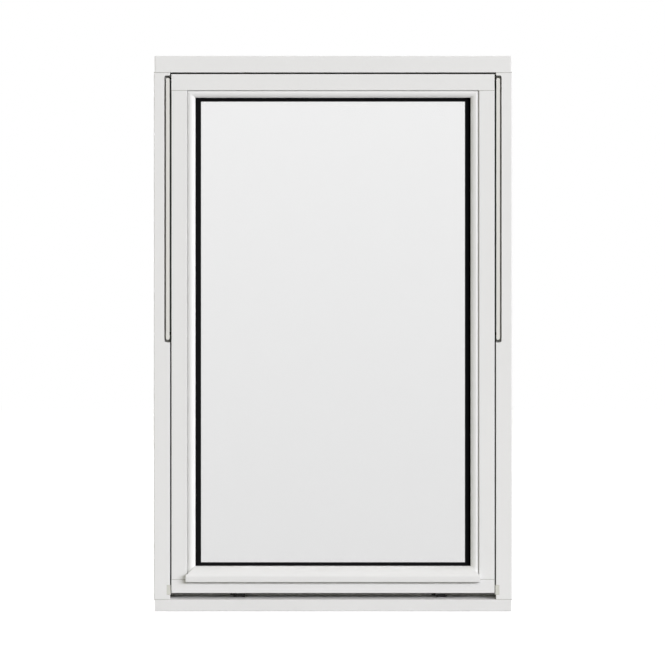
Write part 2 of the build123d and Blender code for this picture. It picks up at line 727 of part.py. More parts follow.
def lock_faceplate():
    half_length = FACEPLATE_LENGTH / 2
    half_width = LOCK_GROOVE_WIDTH / 2
    top = sash_bottom + FACEPLATE_THICKNESS
    body = block(
        -half_length, half_length, LOCK_DEPTH - half_width, LOCK_DEPTH + half_width, sash_bottom, top,
    )
    reach = CAM_RADIUS + CAM_SLOT_PLAY
    for place in (-cam_place, cam_place):
        points = [
            (place - reach, LOCK_DEPTH - reach), (place + ROD_TRAVEL + reach, LOCK_DEPTH - reach),
            (place + ROD_TRAVEL + reach, LOCK_DEPTH + reach), (place - reach, LOCK_DEPTH + reach),
        ]
        body -= along_height(points, sash_bottom - OVERRUN, top + OVERRUN)
    return body


def lock_gearbox():
    half = GEARBOX_LENGTH / 2
    half_width = LOCK_GROOVE_WIDTH / 2
    front = LOCK_DEPTH - half_width
    back = LOCK_DEPTH + half_width
    body = block(-half, half, front, back, gearbox_z, gearbox_top)
    return body - pin_along_y(HUB_RADIUS, front - OVERRUN, back + OVERRUN, 0, handle_z)


def drive_rod():
    half_length = FACEPLATE_LENGTH / 2 - ROD_END_GAP
    half_width = ROD_WIDTH / 2
    return block(
        -half_length, half_length, LOCK_DEPTH - half_width, LOCK_DEPTH + half_width,
        rod_z, rod_z + ROD_HEIGHT,
    )


def locking_cams():
    cams = Part()
    for place in (-cam_place, cam_place):
        centre = Pos(place, at_depth(LOCK_DEPTH), (cam_z + rod_z) / 2)
        cams += centre * Cylinder(CAM_RADIUS, rod_z - cam_z)
    return cams


def keeper(place):
    """Angle on the sloping sill whose wall holds the cam after it has slid behind it."""
    left = place + CAM_RADIUS + KEEPER_SIDE_GAP
    right = left + KEEPER_LENGTH
    wall_back = LOCK_DEPTH - CAM_RADIUS - KEEPER_CAM_GAP
    wall_front = wall_back - KEEPER_THICKNESS
    foot_back = wall_front + KEEPER_FOOT_DEPTH
    top = sash_bottom - KEEPER_SASH_GAP

    def slope_at(depth):
        return SILL_FACE + depth * sill_slope

    points = [
        (wall_front, slope_at(wall_front)), (wall_front, top), (wall_back, top),
        (wall_back, slope_at(wall_back) + KEEPER_FOOT_THICKNESS),
        (foot_back, slope_at(foot_back) + KEEPER_FOOT_THICKNESS), (foot_back, slope_at(foot_back)),
    ]
    return along_width(points, left, right)


def handle_rose():
    half_width = ROSE_WIDTH / 2
    half_height = ROSE_HEIGHT / 2
    points = [
        (-half_width, handle_z - half_height), (half_width, handle_z - half_height),
        (half_width, handle_z + half_height), (-half_width, handle_z + half_height),
    ]
    back = SASH_DEPTH + ROSE_THICKNESS
    body = along_depth(points, SASH_DEPTH, back, [ROSE_CORNER] * len(points))
    rim = body.faces().sort_by(Axis.Y)[-1].edges()
    body = chamfer(rim, ROSE_BEVEL)
    bore = NECK_RADIUS + NECK_CLEARANCE
    return body - pin_along_y(bore, SASH_DEPTH - OVERRUN, back + OVERRUN, 0, handle_z)


def handle_lever():
    """Lever with its neck; at rest it lies level, toward the right hand seen from outside."""
    root = LEVER_ROOT_HEIGHT / 2
    tip = LEVER_TIP_HEIGHT / 2
    points = [
        (-root, handle_z - root), (LEVER_LENGTH, handle_z - tip),
        (LEVER_LENGTH, handle_z + tip), (-root, handle_z + root),
    ]
    back = lever_depth + LEVER_THICKNESS
    radii = [root - JOINT_ARRIS, tip - JOINT_ARRIS, tip - JOINT_ARRIS, root - JOINT_ARRIS]
    grip = along_depth(points, lever_depth, back, radii)
    grip = fillet(grip.faces().sort_by(Axis.Y)[-1].edges(), LEVER_ROUND)
    grip = chamfer(grip.faces().sort_by(Axis.Y)[0].edges(), LEVER_BEVEL)
    neck = pin_along_y(NECK_RADIUS, SASH_DEPTH + NECK_CLEARANCE, back - LEVER_ROUND, 0, handle_z)
    return grip + neck - spindle()


def spindle():
    half = SPINDLE_SIDE / 2
    front = LOCK_DEPTH - LOCK_GROOVE_WIDTH / 2
    return block(-half, half, front, lever_depth, handle_z - half, handle_z + half)


def both_sides(name, right):
    return {name + "_right": right, name + "_left": mirror(right, about=Plane.YZ)}


def assembly():
    nodes = {
        "head": head(),
        "sill": sill(),
        "frame_gasket": frame_gasket(),
        "keeper_right": keeper(cam_place),
        "keeper_left": keeper(-cam_place),
        "sash_top_rail": sash_top_rail(),
        "sash_bottom_rail": sash_bottom_rail(),
        "glazing_bead_top": top_bead(),
        "drip_bead": drip_bead(),
        "outer_pane": pane(outer_pane_depth),
        "inner_pane": pane(inner_pane_depth),
        "spacer_frame": edge_ring(EDGE_SEAL, edge_zone, cavity_depth, inner_pane_depth),
        "edge_seal": edge_ring(0, EDGE_SEAL, cavity_depth, inner_pane_depth),
        "outer_glazing_tape": glazing_tape(BEAD_DEPTH),
        "inner_glazing_tape": glazing_tape(inner_tape_depth),
        "setting_blocks": setting_blocks(),
        "lock_faceplate": lock_faceplate(),
        "lock_gearbox": lock_gearbox(),
        "drive_rod": drive_rod(),
        "locking_cams": locking_cams(),
        "handle_rose": handle_rose(),
        "handle_lever": handle_lever(),
        "handle_spindle": spindle(),
    }
    nodes |= both_sides("jamb", jamb())
    nodes |= both_sides("guide_rail", guide_rail())
    nodes |= both_sides("jamb_pivot", jamb_pivot())
    nodes |= both_sides("guide_block", guide_block())
    nodes |= both_sides("arm", arm())
    nodes |= both_sides("shoe", shoe())
    nodes |= both_sides("sash_stile", sash_stile())
    nodes |= both_sides("glazing_bead", side_bead())
    nodes |= both_sides("corner_bracket", corner_bracket())
    nodes |= both_sides("side_bracket", side_bracket())
    return nodes


os.makedirs("parts", exist_ok=True)
for node, shape in assembly().items():
    export_step(shape, f"parts/{node}.step")
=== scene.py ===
import json
import math
import bmesh
import bpy
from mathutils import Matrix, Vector


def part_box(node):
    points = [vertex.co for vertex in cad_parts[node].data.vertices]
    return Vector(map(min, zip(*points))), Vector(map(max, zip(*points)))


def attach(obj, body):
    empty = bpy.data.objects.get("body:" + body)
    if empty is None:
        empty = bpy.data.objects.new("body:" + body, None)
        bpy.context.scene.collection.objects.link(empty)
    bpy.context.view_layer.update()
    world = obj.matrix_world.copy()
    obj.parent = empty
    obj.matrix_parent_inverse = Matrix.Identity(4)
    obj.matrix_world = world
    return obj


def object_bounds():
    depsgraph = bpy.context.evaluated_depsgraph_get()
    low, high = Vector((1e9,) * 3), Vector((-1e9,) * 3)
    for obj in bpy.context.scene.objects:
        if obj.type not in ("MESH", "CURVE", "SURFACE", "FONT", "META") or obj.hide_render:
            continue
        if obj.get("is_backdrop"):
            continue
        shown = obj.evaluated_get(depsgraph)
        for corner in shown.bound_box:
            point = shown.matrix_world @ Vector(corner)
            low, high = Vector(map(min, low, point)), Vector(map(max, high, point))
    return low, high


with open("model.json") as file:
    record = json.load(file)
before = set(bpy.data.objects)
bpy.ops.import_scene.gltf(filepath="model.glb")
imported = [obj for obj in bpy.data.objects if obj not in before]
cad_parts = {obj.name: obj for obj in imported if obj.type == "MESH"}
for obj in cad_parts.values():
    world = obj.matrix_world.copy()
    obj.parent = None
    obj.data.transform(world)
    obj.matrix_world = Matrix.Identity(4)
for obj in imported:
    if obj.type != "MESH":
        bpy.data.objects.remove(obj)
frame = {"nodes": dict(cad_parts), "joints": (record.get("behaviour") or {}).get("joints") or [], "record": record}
cad_low, cad_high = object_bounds()
MM = 0.001


# Head, jambs and sill: laminated softwood, shouldered and glued together, then sprayed white in the
# factory. The joints show only as fine lines between eased arrises.
FRAME_MEMBERS = ["head", "jamb_left", "jamb_right", "sill"]
PAINT_LIGHT = "#E6E6E5"
PAINT_DARK = "#E2E2E1"
PAINT_PEEL = 2.2 * MM
PAINT_CLOUD = 140 * MM
PAINT_FILM_RELIEF = 0.03 * MM
PAINT_GLOSS = (0.36, 0.46)
WELD_REACH = 0.002 * MM
SHARP_ANGLE = math.radians(32)


def linear(code):
    """An sRGB hex colour as the linear RGBA that shaders take."""
    parts = [int(code[start:start + 2], 16) / 255 for start in (1, 3, 5)]
    low = [part / 12.92 for part in parts]
    high = [((part + 0.055) / 1.055) ** 2.4 for part in parts]
    return [b if part > 0.04045 else a for part, a, b in zip(parts, low, high)] + [1.0]


def add(tree, kind, inputs=None, **settings):
    """Add one node with its settings, and set or link its inputs."""
    node = tree.nodes.new(kind)
    for name, value in settings.items():
        setattr(node, name, value)
    for socket, value in (inputs or {}).items():
        if isinstance(value, bpy.types.NodeSocket):
            tree.links.new(value, node.inputs[socket])
        else:
            node.inputs[socket].default_value = value
    return node


def material_of(name, **sockets):
    """A new material: its tree, its shader with the even values set, and the object's own coordinates."""
    material = bpy.data.materials.new(name)
    material.use_nodes = True
    tree = material.node_tree
    shader = tree.nodes["Principled BSDF"]
    for socket, value in sockets.items():
        shader.inputs[socket.replace("_", " ")].default_value = value
    place = add(tree, "ShaderNodeTexCoord").outputs["Object"]
    return material, tree, shader, place


def sprayed_paint():
    """Satin acrylic paint on timber: even white, with a faint orange peel and slow changes of shade."""
    material, tree, shader, place = material_of("sprayed_paint", IOR=1.47)
    cloud = add(tree, "ShaderNodeTexNoise", {"Vector": place, "Scale": 1 / PAINT_CLOUD, "Detail": 3.0})
    shade = add(tree, "ShaderNodeValToRGB", {"Fac": cloud.outputs["Fac"]})
    shade.color_ramp.elements[0].color = linear(PAINT_DARK)
    shade.color_ramp.elements[1].color = linear(PAINT_LIGHT)
    tree.links.new(shade.outputs["Color"], shader.inputs["Base Color"])
    peel = add(tree, "ShaderNodeTexNoise", {"Vector": place, "Scale": 1 / PAINT_PEEL, "Detail": 2.0})
    gloss = add(tree, "ShaderNodeMapRange", {
        "Value": peel.outputs["Fac"], "To Min": PAINT_GLOSS[0], "To Max": PAINT_GLOSS[1]})
    tree.links.new(gloss.outputs["Result"], shader.inputs["Roughness"])
    relief = add(tree, "ShaderNodeBump", {"Height": peel.outputs["Fac"], "Distance": PAINT_FILM_RELIEF})
    tree.links.new(relief.outputs["Normal"], shader.inputs["Normal"])
    return material


def eased_arrises():
    """Modifier tree that joins a node's facets and shades its rounded edges smooth."""
    tree = bpy.data.node_groups.new("eased_arrises", "GeometryNodeTree")
    for way in ("INPUT", "OUTPUT"):
        tree.interface.new_socket("Geometry", in_out=way, socket_type="NodeSocketGeometry")
    shape = tree.nodes.new("NodeGroupInput").outputs[0]
    plain = add(tree, "GeometryNodeRemoveAttribute", {"Geometry": shape, "Name": "custom_normal"})
    joined = add(tree, "GeometryNodeMergeByDistance", {
        "Geometry": plain.outputs[0], "Distance": WELD_REACH})
    smooth = add(tree, "GeometryNodeSetShadeSmooth", {"Geometry": joined.outputs[0]}, domain="FACE")
    angle = add(tree, "GeometryNodeInputMeshEdgeAngle").outputs["Unsigned Angle"]
    sharp = add(tree, "FunctionNodeCompare", {"A": angle, "B": SHARP_ANGLE}, operation="GREATER_THAN")
    edged = add(tree, "GeometryNodeSetShadeSmooth", {
        "Geometry": smooth.outputs[0], "Selection": sharp.outputs[0], "Shade Smooth": False}, domain="EDGE")
    tree.links.new(edged.outputs[0], tree.nodes.new("NodeGroupOutput").inputs[0])
    return tree


ARRIS_TREE = eased_arrises()


def dress(names, material):
    """Give CAD nodes their finish, and shade their rounded edges smooth."""
    for name in names:
        node = frame["nodes"][name]
        for slot in node.material_slots:
            slot.material = material
        node.modifiers.new("eased_arrises", "NODES").node_group = ARRIS_TREE
        weighted = node.modifiers.new("flat_faces_lead", "WEIGHTED_NORMAL")
        weighted.keep_sharp = True
        weighted.weight = 100


PAINT = sprayed_paint()
dress(FRAME_MEMBERS, PAINT)


# Cover caps over the frame fixings: moulded polypropylene discs, pressed into the drilled holes on
# the room side of each jamb's stop.
CAP_RADIUS = 9.0 * MM
CAP_RISE = 1.2 * MM
CAP_ROLL = 0.8 * MM
CAP_DISH_RADIUS = 5.5 * MM
CAP_DISH = 0.3 * MM
CAP_TOP_SHARE = 0.99
CAP_WHITE = "#E4E4E2"
CAP_GRAIN = 0.8 * MM
CAP_GRAIN_RELIEF = 0.01 * MM
CAP_GLOSS = (0.42, 0.55)
ROUND_SIDES = 40
ROLL_STEPS = 4
ROLL_PROFILE = 0.6
SMOOTH_ANGLE = math.radians(40)


def start_piece(name):
    """Name the primitive just added, apply its place and open it in edit mode with nothing selected."""
    piece = bpy.context.object
    piece.name = name
    bpy.ops.object.transform_apply(location=True, rotation=True, scale=True)
    bpy.ops.object.mode_set(mode="EDIT")
    bpy.ops.mesh.select_mode(type="EDGE")
    bpy.ops.mesh.select_all(action="DESELECT")
    return piece


def pick(piece, test, kind="edges"):
    """Select the edges or faces of the piece in edit mode whose corners all pass the test."""
    bpy.ops.mesh.select_mode(type="EDGE" if kind == "edges" else "FACE")
    bpy.ops.mesh.select_all(action="DESELECT")
    shape = bmesh.from_edit_mesh(piece.data)
    for part in getattr(shape, kind):
        part.select_set(all(test(corner.co) for corner in part.verts))
    bmesh.update_edit_mesh(piece.data)


def end_piece(piece, material):
    """Leave edit mode, shade the rounded edges smooth and set the finish."""
    bpy.ops.object.mode_set(mode="OBJECT")
    bpy.ops.object.shade_smooth_by_angle(angle=SMOOTH_ANGLE)
    piece.data.materials.clear()
    piece.data.materials.append(material)
    return piece


def disc(name, radius, rise, roll):
    """Round button that lies on a surface at the origin and faces +Z, its rim rolled over."""
    bpy.ops.object.select_all(action="DESELECT")
    bpy.ops.mesh.primitive_cylinder_add(vertices=ROUND_SIDES, radius=radius, depth=2 * rise)
    piece = start_piece(name)
    pick(piece, lambda corner: corner.z > rise / 2)
    bpy.ops.mesh.bevel(offset=roll, segments=ROLL_STEPS, affect="EDGES", profile=ROLL_PROFILE)
    return piece


def set_copies(pattern, name, places, facing, body):
    """Copy a small fitting to its places, turned to face one way, as one piece on a body."""
    turn = Vector((0, 0, 1)).rotation_difference(Vector(facing)).to_euler()
    copies = []
    for place in places:
        bpy.ops.object.select_all(action="DESELECT")
        pattern.select_set(True)
        bpy.context.view_layer.objects.active = pattern
        bpy.ops.object.duplicate()
        copy = bpy.context.object
        copy.location = place
        copy.rotation_euler = turn
        copies.append(copy)
    bpy.ops.object.select_all(action="DESELECT")
    for copy in copies:
        copy.select_set(True)
    bpy.context.view_layer.objects.active = copies[0]
    if len(copies) > 1:
        bpy.ops.object.join()
    bpy.ops.object.transform_apply(location=True, rotation=True, scale=True)
    piece = bpy.context.object
    piece.name = name
    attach(piece, body)
    return piece


def mount_places(mount):
    """The points of a bolt pattern of the record, in metres."""
    middle = Vector(mount["pos_m"])
    reach = mount["dims"]["spacing_y_mm"] * MM / 2
    return [middle - Vector((0, 0, reach)), middle + Vector((0, 0, reach))]


def moulded_white():
    """White moulded polypropylene: slightly waxy, with a fine spark-eroded grain."""
    material, tree, shader, place = material_of("moulded_polypropylene", IOR=1.49, Subsurface_Weight=0.1)
    shader.inputs["Subsurface Radius"].default_value = (MM, MM, MM)
    shader.inputs["Base Color"].default_value = linear(CAP_WHITE)
    grain = add(tree, "ShaderNodeTexNoise", {"Vector": place, "Scale": 1 / CAP_GRAIN, "Detail": 2.0})
    gloss = add(tree, "ShaderNodeMapRange", {
        "Value": grain.outputs["Fac"], "To Min": CAP_GLOSS[0], "To Max": CAP_GLOSS[1]})
    tree.links.new(gloss.outputs["Result"], shader.inputs["Roughness"])
    relief = add(tree, "ShaderNodeBump", {"Height": grain.outputs["Fac"], "Distance": CAP_GRAIN_RELIEF})
    tree.links.new(relief.outputs["Normal"], shader.inputs["Normal"])
    return material


cap = disc("fixing_cap", CAP_RADIUS, CAP_RISE, CAP_ROLL)
pick(cap, lambda corner: corner.z > CAP_RISE * CAP_TOP_SHARE, "faces")
bpy.ops.mesh.inset(thickness=CAP_RADIUS - CAP_ROLL - CAP_DISH_RADIUS)
bpy.ops.transform.translate(value=(0, 0, -CAP_DISH))
end_piece(cap, moulded_white())
for side, inward in (("left", 1), ("right", -1)):
    stop_x = -inward * min(abs(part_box("jamb_" + side)[0].x), abs(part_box("jamb_" + side)[1].x))
    places = []
    for mount in frame["record"]["mounts"]:
        if mount["name"].startswith("jamb_fixings_" + side):
            places += [Vector((stop_x, point.y, point.z)) for point in mount_places(mount)]
    set_copies(cap, "fixing_caps_" + side, places, (inward, 0, 0), "frame")
bpy.data.objects.remove(cap)


# Joint lines: a fine grey strip laid into the V grooves where the jambs meet head and sill
# and where the stiles meet the sash rails. Its grey is painted shade that darkens the joint lines.
JOINT_LINE_WIDTH = 1.5 * MM
JOINT_LINE_DEPTH = 0.4 * MM
JOINT_LINE_SINK = 0.3 * MM
JOINT_LINE_ROUND = 0.12 * MM
JOINT_LINE_END = 0.6 * MM
GROOVE_REACH = 1.2 * MM
# Grey of the joint strips: painted shade that darkens the V grooves.
JOINT_SHADE_GREY = "#A2A29B"
JOINT_LINE_GRAIN = 2.0 * MM
JOINT_LINE_GLOSS = (0.5, 0.7)
JOINT_LINE_ROUND_STEPS = 3
UPRIGHTS = {
    "jamb_left": "frame", "jamb_right": "frame", "sash_stile_left": "sash", "sash_stile_right": "sash"}


def acrylic_sealer():
    """Grey strip that paints the shade of the joint grooves: dull, with small ripples in its gloss."""
    material, tree, shader, place = material_of("acrylic_sealer", IOR=1.48)
    shader.inputs["Base Color"].default_value = linear(JOINT_SHADE_GREY)
    ripple = add(tree, "ShaderNodeTexNoise", {"Vector": place, "Scale": 1 / JOINT_LINE_GRAIN, "Detail": 2.0})
    gloss = add(tree, "ShaderNodeMapRange", {
        "Value": ripple.outputs["Fac"], "To Min": JOINT_LINE_GLOSS[0], "To Max": JOINT_LINE_GLOSS[1]})
    tree.links.new(gloss.outputs["Result"], shader.inputs["Roughness"])
    return material


def front_face(name):
    """The low and high corner of the flat front of a CAD node, inside its eased arrises."""
    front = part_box(name)[0].y
    node = frame["nodes"][name]
    spots = [node.matrix_world @ corner.co for corner in node.data.vertices]
    flat = [spot for spot in spots if spot.y < front + JOINT_LINE_SINK]
    low = Vector([min(spot[axis] for spot in flat) for axis in range(3)])
    return low, Vector([max(spot[axis] for spot in flat) for axis in range(3)])


# The grey strips paint the shade of the joint grooves.
JOINT_SHADE_STRIP = acrylic_sealer()
for upright, body in UPRIGHTS.items():
    low, high = front_face(upright)
    front = low.y + JOINT_LINE_SINK
    for end, height in (("foot", low.z - GROOVE_REACH), ("top", high.z + GROOVE_REACH)):
        bpy.ops.object.select_all(action="DESELECT")
        bpy.ops.mesh.primitive_cube_add(
            size=1, location=((low.x + high.x) / 2, front + JOINT_LINE_DEPTH / 2, height),
            scale=(high.x - low.x + 2 * JOINT_LINE_END, JOINT_LINE_DEPTH, JOINT_LINE_WIDTH))
        line = start_piece(upright + "_" + end + "_sealer")
        pick(line, lambda corner: corner.y < front + JOINT_LINE_DEPTH / 2)
        bpy.ops.mesh.bevel(offset=JOINT_LINE_ROUND, segments=JOINT_LINE_ROUND_STEPS, affect="EDGES")
        end_piece(line, JOINT_SHADE_STRIP)
        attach(line, body)


# Frame gasket: a hollow bulb of black EPDM rubber, pushed by its tongue into a kerf round the stop.
# The extruded skin is dull, with fine specks in it.
RUBBER_DEEP = "#060606"
RUBBER_SPECK = 1.2 * MM
RUBBER_RELIEF = 0.02 * MM
RUBBER_GLOSS_SPAN = 0.1
GASKET_BLACK = "#1C1C1B"
GASKET_DULL = 0.75


def extruded_rubber(name, shade, dull):
    """Black rubber: matte, with fine specks in its skin."""
    material, tree, shader, place = material_of(name, IOR=1.5, Specular_IOR_Level=0.2)
    speck = add(tree, "ShaderNodeTexNoise", {"Vector": place, "Scale": 1 / RUBBER_SPECK, "Detail": 4.0})
    tint = add(tree, "ShaderNodeValToRGB", {"Fac": speck.outputs["Fac"]})
    tint.color_ramp.elements[0].color = linear(RUBBER_DEEP)
    tint.color_ramp.elements[1].color = linear(shade)
    tree.links.new(tint.outputs["Color"], shader.inputs["Base Color"])
    gloss = add(tree, "ShaderNodeMapRange", {
        "Value": speck.outputs["Fac"], "To Min": dull - RUBBER_GLOSS_SPAN, "To Max": dull})
    tree.links.new(gloss.outputs["Result"], shader.inputs["Roughness"])
    relief = add(tree, "ShaderNodeBump", {"Height": speck.outputs["Fac"], "Distance": RUBBER_RELIEF})
    tree.links.new(relief.outputs["Normal"], shader.inputs["Normal"])
    return material


dress(["frame_gasket"], extruded_rubber("extruded_epdm", GASKET_BLACK, GASKET_DULL))


# Guide rails: extruded aluminium channels with a solid nose, powder coated pale grey. Each is screwed
# through its web into the pocket of the jamb.
SCREW_RADIUS = 3.6 * MM
SCREW_RISE = 0.2 * MM
RECESS_REACH = 2.3 * MM
RECESS_WIDTH = 0.9 * MM
RAIL_SCREW_SHARES = (0.16, 0.38, 0.62, 0.86)
SHOE_PLAY = 0.3 * MM
SCREW_ROLL_SHARE = 0.7
RAIL_PALE = "#DDDCD8"
RAIL_DEEP = "#D5D4CE"
COAT_DIMPLE = 1.4 * MM
COAT_RELIEF = 0.015 * MM
COAT_GLOSS = (0.38, 0.5)
SCREW_PALE = "#D6D7D8"
SCREW_DEEP = "#B4B6B8"
ZINC_CLOUD = 9.0 * MM
ZINC_LINE = 0.5 * MM
ZINC_RELIEF = 0.004 * MM
ZINC_GLOSS = (0.28, 0.45)


def powder_coat(name, pale, deep):
    """Polyester powder coat on aluminium: satin, with the small dimples of the melted powder."""
    material, tree, shader, place = material_of(name, IOR=1.5)
    dimple = add(tree, "ShaderNodeTexVoronoi", {
        "Vector": place, "Scale": 1 / COAT_DIMPLE}, feature="SMOOTH_F1")
    shade = add(tree, "ShaderNodeValToRGB", {"Fac": dimple.outputs["Distance"]})
    shade.color_ramp.elements[0].color = linear(pale)
    shade.color_ramp.elements[1].color = linear(deep)
    tree.links.new(shade.outputs["Color"], shader.inputs["Base Color"])
    gloss = add(tree, "ShaderNodeMapRange", {
        "Value": dimple.outputs["Distance"], "To Min": COAT_GLOSS[0], "To Max": COAT_GLOSS[1]})
    tree.links.new(gloss.outputs["Result"], shader.inputs["Roughness"])
    relief = add(tree, "ShaderNodeBump", {"Height": dimple.outputs["Distance"], "Distance": COAT_RELIEF})
    tree.links.new(relief.outputs["Normal"], shader.inputs["Normal"])
    return material


def zinc_plate(name, pale, deep, spread):
    """Zinc plating on rolled steel, bright or black: metal with cloudy passivation and rolling lines."""
    material, tree, shader, place = material_of(name, Metallic=1.0)
    cloud = add(tree, "ShaderNodeTexNoise", {"Vector": place, "Scale": 1 / ZINC_CLOUD, "Detail": 4.0})
    shade = add(tree, "ShaderNodeValToRGB", {"Fac": cloud.outputs["Fac"]})
    shade.color_ramp.elements[0].color = linear(deep)
    shade.color_ramp.elements[1].color = linear(pale)
    tree.links.new(shade.outputs["Color"], shader.inputs["Base Color"])
    gloss = add(tree, "ShaderNodeMapRange", {
        "Value": cloud.outputs["Fac"], "To Min": ZINC_GLOSS[0], "To Max": ZINC_GLOSS[1]})
    tree.links.new(gloss.outputs["Result"], shader.inputs["Roughness"])
    drawn = add(tree, "ShaderNodeMapping", {"Vector": place, "Scale": spread})
    line = add(tree, "ShaderNodeTexNoise", {"Vector": drawn.outputs["Vector"], "Scale": 1 / ZINC_LINE})
    relief = add(tree, "ShaderNodeBump", {"Height": line.outputs["Fac"], "Distance": ZINC_RELIEF})
    tree.links.new(relief.outputs["Normal"], shader.inputs["Normal"])
    return material


def cross_head(name, radius, rise, material):
    """Head of a cross-recess screw, facing +Z, with its rim rolled and the recess cut by two bars."""
    head = disc(name, radius, rise, rise * SCREW_ROLL_SHARE)
    bpy.ops.object.mode_set(mode="OBJECT")
    for reach, width in ((RECESS_REACH, RECESS_WIDTH), (RECESS_WIDTH, RECESS_REACH)):
        bpy.ops.object.select_all(action="DESELECT")
        bpy.ops.mesh.primitive_cube_add(size=2, scale=(reach, width, rise), location=(0, 0, rise))
        bar = bpy.context.object
        bpy.ops.object.transform_apply(location=True, rotation=True, scale=True)
        cut = head.modifiers.new("recess", "BOOLEAN")
        cut.object = bar
        cut.operation = "DIFFERENCE"
        bpy.context.view_layer.objects.active = head
        bpy.ops.object.modifier_apply(modifier="recess")
        bpy.data.objects.remove(bar)
    bpy.ops.object.select_all(action="DESELECT")
    head.select_set(True)
    bpy.context.view_layer.objects.active = head
    return end_piece(head, material)


RAILS = ["guide_rail_left", "guide_rail_right"]
RAIL_COAT = powder_coat("pale_powder_coat", RAIL_PALE, RAIL_DEEP)
dress(RAILS, RAIL_COAT)
SCREW_ZINC = zinc_plate("zinc_screw", SCREW_PALE, SCREW_DEEP, (1, 1, 1))
screw = cross_head("flush_screw", SCREW_RADIUS, SCREW_RISE, SCREW_ZINC)
for rail in RAILS:
    low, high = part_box(rail)
    inward = -math.copysign(1, low.x)
    shoe_low, shoe_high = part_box(rail.replace("guide_rail", "shoe"))
    web_x = max(abs(shoe_low.x), abs(shoe_high.x)) + SHOE_PLAY
    depth = (shoe_low.y + shoe_high.y) / 2
    places = [(-inward * web_x, depth, low.z + share * (high.z - low.z)) for share in RAIL_SCREW_SHARES]
    set_copies(screw, rail + "_screws", places, (inward, 0, 0), "frame")


# Jamb pivots and arms: steel, zinc plated and passivated black. The arm is stamped from flat strip and
# riveted at both ends, to the stud in the rail's tail and to the bracket on the sash.
RIVET_RADIUS = 5.4 * MM
RIVET_RISE = 0.22 * MM
RIVET_ROLL_SHARE = 0.8
BLACK_PALE = "#3A3A39"
BLACK_DEEP = "#2A2A29"
ROLLED_UPRIGHT = (1, 1, 0.05)
BLACK_STEEL = zinc_plate("black_passivated_strip", BLACK_PALE, BLACK_DEEP, ROLLED_UPRIGHT)
dress(["jamb_pivot_left", "jamb_pivot_right", "arm_left", "arm_right"], BLACK_STEEL)
rivet = disc("rivet_head", RIVET_RADIUS, RIVET_RISE, RIVET_RISE * RIVET_ROLL_SHARE)
end_piece(rivet, BLACK_STEEL)
turns = {joint["name"]: joint for joint in frame["joints"]}
for side, inward in (("left", 1), ("right", -1)):
    arm_low, arm_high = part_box("arm_" + side)
    near_sash = -inward * min(abs(arm_low.x), abs(arm_high.x))
    near_jamb = -inward * max(abs(arm_low.x), abs(arm_high.x))
    foot = turns["arm_" + side + "_turn"]["pos_m"]
    top = turns["sash_swing"]["pos_m"]
    foot_place = (near_sash, foot[1], foot[2])
    top_place = (near_jamb, top[1], top[2])
    set_copies(rivet, "jamb_rivet_" + side, [foot_place], (inward, 0, 0), "frame")
    set_copies(rivet, "sash_rivet_" + side, [top_place], (-inward, 0, 0), "sash")
bpy.data.objects.remove(rivet)


# Shoes and guide blocks: injection moulded nylon, pale grey. The shoes slide in the rails, and the
# guide blocks are let into the foot of each jamb to centre the closing sash.
NYLON_DEEP = "#C8C8BF"
NYLON_PALE = "#D3D3CB"
NYLON_GLOW_DEPTH = 2.0 * MM
NYLON_GRAIN = 1.5 * MM
NYLON_RELIEF = 0.015 * MM
NYLON_GLOSS = (0.48, 0.62)
BLOCK_SCREW_SHARE = 0.65


def moulded_nylon():
    """Grey nylon: dull and a little translucent, with a fine moulded grain."""
    material, tree, shader, place = material_of("moulded_nylon", IOR=1.53, Subsurface_Weight=0.08)
    shader.inputs["Subsurface Radius"].default_value = [NYLON_GLOW_DEPTH] * 3
    grain = add(tree, "ShaderNodeTexNoise", {"Vector": place, "Scale": 1 / NYLON_GRAIN, "Detail": 5.0})
    shade = add(tree, "ShaderNodeValToRGB", {"Fac": grain.outputs["Fac"]})
    shade.color_ramp.elements[0].color = linear(NYLON_DEEP)
    shade.color_ramp.elements[1].color = linear(NYLON_PALE)
    tree.links.new(shade.outputs["Color"], shader.inputs["Base Color"])
    gloss = add(tree, "ShaderNodeMapRange", {
        "Value": grain.outputs["Fac"], "To Min": NYLON_GLOSS[0], "To Max": NYLON_GLOSS[1]})
    tree.links.new(gloss.outputs["Result"], shader.inputs["Roughness"])
    relief = add(tree, "ShaderNodeBump", {"Height": grain.outputs["Fac"], "Distance": NYLON_RELIEF})
    tree.links.new(relief.outputs["Normal"], shader.inputs["Normal"])
    return material


NYLON = moulded_nylon()
dress(["shoe_left", "shoe_right", "guide_block_left", "guide_block_right"], NYLON)
for side, inward in (("left", 1), ("right", -1)):
    low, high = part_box("guide_block_" + side)
    face_x = -inward * min(abs(low.x), abs(high.x))
    place = (face_x, low.y + BLOCK_SCREW_SHARE * (high.y - low.y), (low.z + high.z) / 2)
    set_copies(screw, "guide_block_screw_" + side, [place], (inward, 0, 0), "frame")


